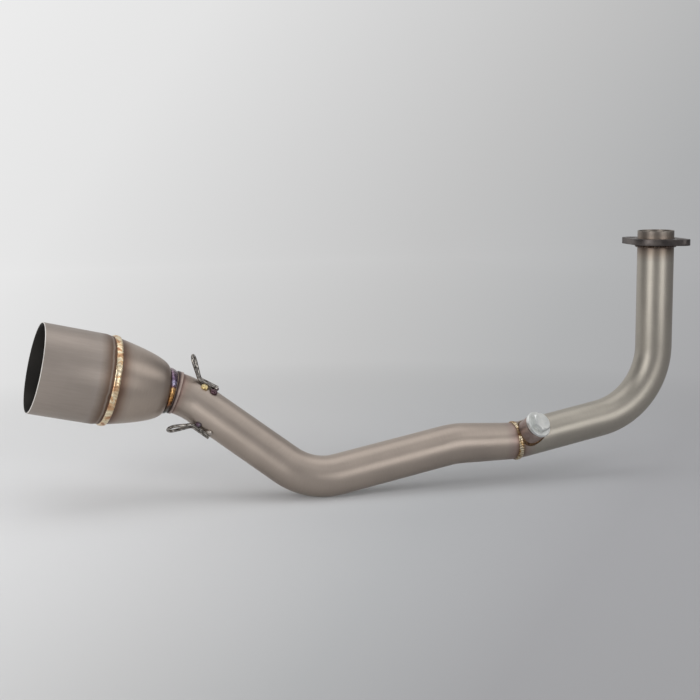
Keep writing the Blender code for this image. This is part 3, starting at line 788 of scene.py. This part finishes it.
def lay_neck():
    """Broad fillet where the pipe enters the transition, and the sleeve ring ahead of it."""
    weld_start = NECK - GAP - NECK_WELD_WIDTH
    radius = MID_OD / 2
    count, depth, seed = NECK_RIPPLES
    piece = torus("neck_weld_bead", radius, 360, 24)
    heights = []
    for vert in piece.data.vertices:
        turn, rise, across = on_torus(vert.co, radius)
        heights.append(scallop(turn, across, count, seed))
        if rise > 0:
            share = math.sin(math.pi / 2 * min(max(0.5 + across / 2, 0), 1)) ** 0.9
            crown = NECK_WELD_TOE + (NECK_WELD_CROWN - NECK_WELD_TOE) * share
            out = crown * rise ** 0.35 + depth * heights[-1] * rise ** 0.5
        else:
            out = NECK_WELD_SINK * rise
        vert.co = around(turn, radius + out, across * NECK_WELD_WIDTH / 2)
    note_ripples(piece, heights)
    onto_route(piece, weld_start + NECK_WELD_WIDTH / 2)
    place()
    shade(60)
    dress(piece, NECK_OXIDE_AND_PAINTED_HIGHLIGHTS, "weld_dark", "neck_weld")

    end = weld_start - 2 * GAP
    low, high = radius - SLEEVE_SEAT, radius + GAP + SLEEVE_WALL
    half = SLEEVE_WIDTH / 2
    flat = half - SLEEVE_EASE
    top = high - SLEEVE_EASE
    profile = [(low, -half), (top, -half), (high, -flat), (high, flat), (top, half), (low, half)]
    piece = loop_closed("neck_sleeve_ring", Vector(), UP, profile, OUTLET_SIDES)
    onto_route(piece, end - half)
    place()
    shade()
    dress(piece, SLEEVE_STEEL, "tube_steel", "neck_sleeve")


# Sensor boss

def bung_axes():
    at, along, up, side = facing(WELD - BUNG_BEFORE_WELD)
    out = up * math.cos(BUNG_CLOCK) + side * math.sin(BUNG_CLOCK)
    axis = (out * math.cos(BUNG_LEAN) - along * math.sin(BUNG_LEAN)).normalized()
    across = (along - axis * along.dot(axis)).normalized()
    return at, axis, across


BUNG_AT, BUNG_AXIS, BUNG_ACROSS = bung_axes()
BUNG_TOP = (HEAD_OD / 2 + BUNG_OD / 2 * math.sin(BUNG_LEAN)) / math.cos(BUNG_LEAN) + BUNG_LIP


BUNG_FOOT = 6 * MM
SEARCH_HEIGHT = 40 * MM
HALVINGS = 24


def on_pipe(turn, radius):
    """Height along the bung's axis at which a line beside it meets the pipe's surface."""
    side = BUNG_ACROSS * math.cos(turn) + BUNG_AXIS.cross(BUNG_ACROSS) * math.sin(turn)
    low, high = 0.0, SEARCH_HEIGHT
    for _ in range(HALVINGS):
        middle = (low + high) / 2
        _, y, z = unbend(BUNG_AT + side * radius + BUNG_AXIS * middle)
        if math.hypot(y, z) < HEAD_OD / 2:
            low = middle
        else:
            high = middle
    return low


def fit_bung():
    bore = PLUG_SHANK / 2 + GAP
    edge = 0.5 * MM
    outer = BUNG_OD / 2
    profile = [(bore, BUNG_FOOT), (bore, BUNG_TOP - edge), (bore + edge, BUNG_TOP),
               (outer - edge, BUNG_TOP), (outer, BUNG_TOP - edge), (outer, BUNG_FOOT)]
    piece = loop_closed("sensor_bung_turned", BUNG_AT, BUNG_AXIS, profile)
    along = BUNG_ACROSS, BUNG_AXIS.cross(BUNG_ACROSS)
    for vert in piece.data.vertices:
        off = vert.co - BUNG_AT
        if off.dot(BUNG_AXIS) < BUNG_FOOT + MM:
            turn = math.atan2(off.dot(along[1]), off.dot(along[0]))
            radius = math.hypot(off.dot(along[0]), off.dot(along[1]))
            vert.co += BUNG_AXIS * (on_pipe(turn, radius) - off.dot(BUNG_AXIS) - GAP)
    shade()
    dress(piece, BUNG_STEEL, "tube_steel", "sensor_bung")


def weld_bung():
    """Small fillet along the saddle line between bung and pipe."""
    radius = BUNG_OD / 2
    count, depth, seed = SADDLE_RIPPLES
    piece = torus("bung_saddle_weld", radius, 192, 14)
    heights = []
    for vert in piece.data.vertices:
        turn, rise, up = on_torus(vert.co, radius)
        heights.append(scallop(turn, up, count, seed))
        size = SADDLE_SIZE + depth * heights[-1]
        r = radius + SADDLE_OUT + rise * size
        height = on_pipe(turn, max(r, radius)) + SADDLE_UP + up * size
        height = min(height, BUNG_TOP - SADDLE_BELOW)
        vert.co = (BUNG_AT + BUNG_AXIS * height + BUNG_ACROSS * r * math.cos(turn)
                   + BUNG_AXIS.cross(BUNG_ACROSS) * r * math.sin(turn))
    note_ripples(piece, heights)
    place()
    shade(60)
    dress(piece, BUNG_GOLD, "weld_bead", "bung_weld")


def fit_plug():
    """Washer and plug; the plug is turned round, then its head's sides are milled to a hexagon."""
    face = BUNG_TOP + GAP
    edge = 0.2 * MM
    inner = PLUG_SHANK / 2 + GAP
    outer = WASHER_OD / 2
    top = face + WASHER_THICK
    profile = [(inner, top), (outer - edge, top), (outer, top - edge), (outer, face + edge),
               (outer - edge, face), (inner, face)]
    piece = loop_closed("crush_washer", BUNG_AT, BUNG_AXIS, profile)
    shade()
    dress(piece, ZINC, "plug_plate", "plug_washer")

    low = top + GAP
    high = low + PLUG_DISC_THICK
    head = high + PLUG_HEX_HEIGHT
    disc = PLUG_DISC / 2
    flat = PLUG_HEX / 2
    shank = PLUG_SHANK / 2
    tip = low - PLUG_SHANK_LENGTH
    profile = [(shank - PLUG_SHANK_EASE, tip), (shank, tip + PLUG_SHANK_EASE), (shank, low),
               (disc - edge, low), (disc, low + edge * 2), (disc, high - edge * 3),
               (disc - edge * 3, high), (flat * HEX_CORNER, high), (flat, high),
               (flat, head - HEX_SIDE), (flat, head - HEX_RIM), (flat - HEX_EASE, head)]
    piece = lathe("sensor_plug_turned", BUNG_AT, BUNG_AXIS, profile)
    square = BUNG_AXIS.cross(BUNG_ACROSS)
    for vert in piece.data.vertices:
        off = vert.co - BUNG_AT
        z = off.dot(BUNG_AXIS)
        x, y = off.dot(BUNG_ACROSS), off.dot(square)
        if high - edge < z < head - edge and math.hypot(x, y) < flat * 1.05:
            turn = (math.atan2(y, x) - PLUG_TURN + math.pi / 6) % (math.pi / 3) - math.pi / 6
            reach = flat / math.cos(turn)
            if z > head - HEX_SIDE / 2:
                z = head - HEX_LIP - (reach - flat + HEX_EASE) * math.tan(HEX_CHAMFER)
            angle = math.atan2(y, x)
            corner = (BUNG_ACROSS * math.cos(angle) + square * math.sin(angle)) * reach
            vert.co = BUNG_AT + BUNG_AXIS * z + corner
    shade(25)
    dress(piece, ZINC, "plug_plate", "sensor_plug")


# Flange

def cut_flange():
    """Plate with a round hub and two ears joined by straight tangents, bored and drilled."""
    reach = STUD_PITCH / 2
    lean = math.acos((HUB - EAR) / reach)
    bpy.ops.object.select_all(action="DESELECT")
    bpy.ops.mesh.primitive_circle_add(vertices=144, radius=HUB, fill_type="NGON", location=(0, 0, -PLATE))
    piece = bpy.context.object
    piece.name = piece.data.name = "head_flange_plate"
    for vert in piece.data.vertices:
        turn = math.atan2(vert.co.y, vert.co.x)
        side = 0 if abs(turn) < math.pi / 2 else math.pi
        off = (turn - side + math.pi) % (2 * math.pi) - math.pi
        if abs(off) < lean:
            ear = Vector((reach * math.cos(side), 0, 0))
            angle = side + off
            vert.co = ear + Vector((math.cos(angle), math.sin(angle), 0)) * EAR
    edit()
    bpy.ops.mesh.select_all(action="SELECT")
    push((0, 0, PLATE))
    edit("OBJECT")
    place()
    for x, radius in ((0, HEAD_OD / 2 + PORT_FIT), (reach, STUD_HOLE / 2), (-reach, STUD_HOLE / 2)):
        bpy.ops.object.select_all(action="DESELECT")
        bpy.ops.mesh.primitive_cylinder_add(vertices=96 if x == 0 else 48, radius=radius, depth=4 * PLATE,
                                            location=(x, 0, -PLATE / 2))
        drill = bpy.context.object
        bpy.context.view_layer.objects.active = piece
        apply("BOOLEAN", operation="DIFFERENCE", object=drill)
        bpy.data.objects.remove(drill)
    bpy.ops.object.select_all(action="DESELECT")
    piece.select_set(True)
    bpy.context.view_layer.objects.active = piece
    apply("BEVEL", width=2 * SOFT_EDGE, segments=3, limit_method="ANGLE", angle_limit=SHARP)
    piece.matrix_world = Matrix.Rotation(FLANGE_YAW, 4, "Z")
    place()
    shade(40)
    dress(piece, PLATE_STEEL, "flange_steel", "head_flange")

    bead = bead_ring("flange_fillet_weld", HEAD_OD / 2, FLANGE_BEAD, FLANGE_CROWN, FLANGE_RIPPLES, 288)
    bead.location = (0, 0, -PLATE - FLANGE_BEAD / 2)
    place()
    shade(60)
    dress(bead, FLANGE_WELD_METAL, "weld_dark", "flange_weld")


# Spring hooks

TACKS = {("upper", "front"): TACK_METAL, ("upper", "end"): TACK_BROWN,
         ("lower", "front"): TACK_OXIDE, ("lower", "end"): TACK_SILVER}
HOOK_STEP = math.radians(9)


def bend_hook(label):
    """One wire from leg to loop to leg, swung round each bend as on a wire former."""
    before, clock = HOOKS[label]
    at, along, up, side = facing(NECK - before)
    out = up * math.cos(clock) + side * math.sin(clock)
    across = along.cross(out)
    half = HOOK_LEG_SPREAD / 2
    ease = HOOK_EASE
    big = (HOOK_LOOP_WIDTH - WIRE) / 2
    centre = HOOK_LOOP_LENGTH - big - WIRE / 2
    flare = math.asin(big / math.hypot(centre, half)) - math.atan2(half, centre)
    x, y = ease * math.sin(flare), half + ease * (1 - math.cos(flare))
    centre = x + (big - y * math.cos(flare)) / math.sin(flare)
    slant = (centre - x) * math.cos(flare) - y * math.sin(flare)

    start = at + out * (MID_OD / 2 + GAP + WIRE / 2) - along * HOOK_LEG + across * half
    piece = ring(f"{label}_hook_wire", WIRE / 2, start, along, 20)
    heading, here = along.copy(), start
    leg = HOOK_LEG - HOOK_BEND / 2
    steps = (("push", leg), ("bend", HOOK_LEAN, out, HOOK_BEND), ("bend", flare, across, ease),
             ("push", slant), ("bend", math.pi + 2 * flare, -across, big), ("push", slant),
             ("bend", flare, -across, ease), ("bend", HOOK_LEAN, None, HOOK_BEND), ("push", leg))
    for step in steps:
        if step[0] == "push":
            push(heading * step[1])
            here = here + heading * step[1]
            continue
        _, angle, inward, radius = step
        if inward is None:
            inward = heading.cross(across)
            inward = inward if inward.dot(out) > 0 else -inward
        inward = (inward - heading * inward.dot(heading)).normalized()
        axis = heading.cross(inward)
        swing(angle, here + inward * radius, axis, max(3, math.ceil(angle / HOOK_STEP)))
        turn = Matrix.Rotation(angle, 3, axis)
        here = here + inward * radius - turn @ inward * radius
        heading = turn @ heading
    close_ends()
    edit("OBJECT")
    place()
    apply("BEVEL", width=WIRE / 10, segments=2, limit_method="ANGLE", angle_limit=SHARP)
    shade(50)
    dress(piece, WIRE_STEEL, "wire_steel", f"{label}_spring_hook")

    for end, offset in (("front", -HOOK_BEND), ("end", -HOOK_LEG + END_TACK_INSET)):
        slot = "weld_bead" if end == "front" else "weld_dark"
        name = f"{label}_hook_{end}_weld"
        reach = half + WIRE / 2 + TACK_GAP
        blob = tack(name + "_blob", at + along * offset, along, out, reach, TACK_SIZE)
        dress(blob, TACKS[label, end], slot, name)
        if label == "upper":
            beside = at + along * (offset - (NEAR_TACK_SHIFT if end == "front" else 0))
            near = tack(name + "_near_blob", beside, along, out, -reach - NEAR_TACK_GAP, NEAR_TACK_SIZE)
            dress(near, TACKS[label, end], slot)


def tack(name, at, along, out, reach, size):
    """Lump of weld beside a hook's leg, seated on the pipe at a sideways reach from the hook's middle."""
    round_pipe = Matrix.Rotation(math.asin(reach / (MID_OD / 2 + GAP + WIRE / 2)), 3, along)
    rise = round_pipe @ out
    middle = at + rise * (MID_OD / 2 + GAP)
    square = rise.cross(along)
    bpy.ops.object.select_all(action="DESELECT")
    bpy.ops.mesh.primitive_uv_sphere_add(segments=40, ring_count=24, radius=1)
    blob = bpy.context.object
    blob.name = blob.data.name = name
    for vert in blob.data.vertices:
        lump = 1 + 0.09 * noise.noise(vert.co * 2.3 + middle * 150)
        lump += 0.05 * math.sin(vert.co.x * 9 + vert.co.y * 2)
        long, wide, high = (part * lump for part in size)
        vert.co = middle + along * vert.co.x * long + square * vert.co.y * wide + rise * vert.co.z * high
    place()
    shade(60)
    return blob


# Studio

CAMERA_AT = Vector((-0.6630, -1.1487, 0.0900))
CAMERA_YAW, CAMERA_PITCH, CAMERA_ROLL = (math.radians(angle) for angle in (16.997, 8.639, -0.676))
LENS = 68.37
FILM_WIDTH = 36

# Painted light falloff on the paper: tones across the picture, from upper left to lower right, and the
# part that falls as light
TONE_SLANT = math.radians(36)
PAINTED_FALLOFF_TONES = ((0.0, "ebebeb"), (0.167, "e3e3e3"), (0.333, "d2d2d2"), (0.5, "c0c0c0"), (0.667, "adaeaf"),
         (0.833, "a0a0a2"), (1.0, "9f9fa1"))
TONE_EDGE = 0.36
LIT_CENTRE = (-0.3, 0.0, -0.2)
LIT_REACH = 0.12, 0.75
GLOW_REACH = 0.08, 0.8
LIT_SHARE = 0.93
LIT_GAIN = 1.15

# Paper sheet, its rise behind the object, and how far below the lowest point it lies, in metres
SHEET_MIDDLE = -0.3
SHEET_WIDTH, SHEET_DEPTH = 9, 5
SWEEP_RADIUS = 1.2
SHEET_RISE = 3
SHEET_DROP = 0.0003

# Lights: name, place, point they face, width, height and watts
LIGHTS = (
    ("left_softbox", (-1.40, -0.80, 0.25), (-0.10, 0, -0.1), 0.75, 1.1, 7),
    ("right_softbox", (0.90, -3.0, 0.30), (-0.1, 0, -0.1), 1.50, 2.0, 24),
    ("high_softbox", (0.75, -0.46, 0.78), (-0.5, 0.02, -0.1), 0.8, 0.8, 2.2),
    ("top_softbox", (-0.3, 0.25, 1.5), (-0.3, 0, 0), 2.2, 1.4, 11),
    ("front_fill", (0.30, -1.75, 2.30), (-0.3, 0, -0.1), 2.4, 1.2, 7),
)
ROOM_GREY = "8f9093"
ROOM_STRENGTH = 0.85


def camera_axes():
    """Right, up and ahead of the camera, fitted to the photograph's 700 x 700 frame."""
    yaw, pitch, roll = CAMERA_YAW, CAMERA_PITCH, CAMERA_ROLL
    ahead = Vector((math.sin(yaw) * math.cos(pitch), math.cos(yaw) * math.cos(pitch), -math.sin(pitch)))
    level = Vector((math.cos(yaw), -math.sin(yaw), 0))
    right = level * math.cos(roll) + level.cross(ahead) * math.sin(roll)
    return right, right.cross(ahead), ahead


def paper():
    """Matt paper with painted light falloff: its tone slants from pale to grey as the camera sees it.
    Round the object the tone is lit, so that it takes the shadow; farther out it glows for the eye alone
    and lights nothing."""
    mat, tree, shader = new_material("pale paper", 0.9, 0.0)
    right, over, ahead = camera_axes()
    where = add(tree, "ShaderNodeTexCoord").outputs["Object"]
    off = vector_maths(tree, "SUBTRACT", where, CAMERA_AT)[0]
    slant = right * math.cos(TONE_SLANT) - over * math.sin(TONE_SLANT)
    side = vector_maths(tree, "DOT_PRODUCT", off, slant)["Value"]
    depth = vector_maths(tree, "DOT_PRODUCT", off, ahead)["Value"]
    share = spread(tree, maths(tree, "DIVIDE", side, depth), (-TONE_EDGE, TONE_EDGE))
    # Painted light falloff across the paper.
    tone = stops(add(tree, "ShaderNodeValToRGB", {"Fac": share}), PAINTED_FALLOFF_TONES).outputs["Color"]
    away = vector_maths(tree, "DISTANCE", where, LIT_CENTRE)["Value"]
    lit, given = (spread(tree, away, reach, 1.0, 0.0, interpolation_type="SMOOTHSTEP")
                  for reach in (LIT_REACH, GLOW_REACH))
    lit = maths(tree, "MULTIPLY", lit, LIT_GAIN)
    faded = add(tree, "ShaderNodeVectorMath", {0: tone, "Scale": lit}, operation="SCALE").outputs[0]
    tree.links.new(faded, shader.inputs["Base Color"])
    ray = add(tree, "ShaderNodeLightPath").outputs
    seen = maths(tree, "MAXIMUM", ray["Is Camera Ray"], ray["Is Glossy Ray"])
    seen = maths(tree, "MAXIMUM", seen, ray["Is Transmission Ray"])
    glow = maths(tree, "MULTIPLY", maths(tree, "MULTIPLY_ADD", given, -LIT_SHARE, 1.0), seen)
    tree.links.new(tone, shader.inputs["Emission Color"])
    tree.links.new(glow, shader.inputs["Emission Strength"])
    return mat


def build_floor():
    """Seamless sheet of paper: floor, a wide sweep and the wall behind."""
    bpy.ops.object.select_all(action="DESELECT")
    bpy.ops.mesh.primitive_plane_add(size=1, location=(SHEET_MIDDLE, 0, cad_box[0][2] - SHEET_DROP))
    sheet = bpy.context.object
    sheet.name = "paper_sweep"
    sheet.scale = (SHEET_WIDTH, SHEET_DEPTH, 1)
    bpy.ops.object.transform_apply(location=True, rotation=True, scale=True)
    edit()
    bm = bmesh.from_edit_mesh(sheet.data)
    for edge in bm.edges:
        edge.select = all(vert.co.y > 0 for vert in edge.verts)
    for vert in bm.verts:
        vert.select = vert.co.y > 0
    bmesh.update_edit_mesh(sheet.data)
    floor_z = sheet.data.vertices[0].co.z
    swing(math.pi / 2, Vector((0, SHEET_DEPTH / 2, floor_z + SWEEP_RADIUS)), Vector((1, 0, 0)), 24)
    push((0, 0, SHEET_RISE))
    edit("OBJECT")
    bpy.ops.object.shade_smooth()
    sheet.data.materials.append(paper())


def hang_light(name, at, target, width, height, power):
    lamp = bpy.data.lights.new(name, "AREA")
    lamp.shape = "RECTANGLE"
    lamp.size, lamp.size_y = width, height
    lamp.energy = power
    obj = bpy.data.objects.new(name, lamp)
    bpy.context.scene.collection.objects.link(obj)
    obj.location = at
    obj.rotation_euler = (Vector(target) - Vector(at)).to_track_quat("-Z", "Y").to_euler()


def light_studio():
    for row in LIGHTS:
        hang_light(*row)
    world = bpy.data.worlds.new("grey room")
    bpy.context.scene.world = world
    world.use_nodes = True
    back = world.node_tree.nodes["Background"]
    back.inputs["Color"].default_value = linear(ROOM_GREY)
    back.inputs["Strength"].default_value = ROOM_STRENGTH


def set_camera():
    camera = bpy.data.cameras.new("camera")
    camera.lens = LENS
    camera.sensor_width = FILM_WIDTH
    camera.clip_start = 0.01
    obj = bpy.data.objects.new("camera", camera)
    bpy.context.scene.collection.objects.link(obj)
    right, over, ahead = camera_axes()
    turned = Matrix((right, over, -ahead)).transposed().to_4x4()
    obj.matrix_world = Matrix.Translation(CAMERA_AT) @ turned
    bpy.context.scene.camera = obj


set_camera()
cut_flange()
bend_head_pipe()
bend_mid_pipe()
fit_bung()
weld_bung()
fit_plug()
lay_pipe_welds()
lay_neck()
spin_transition()
roll_cup()
bend_hook("upper")
bend_hook("lower")
build_floor()
light_studio()
bpy.context.scene.view_settings.view_transform = "Standard"
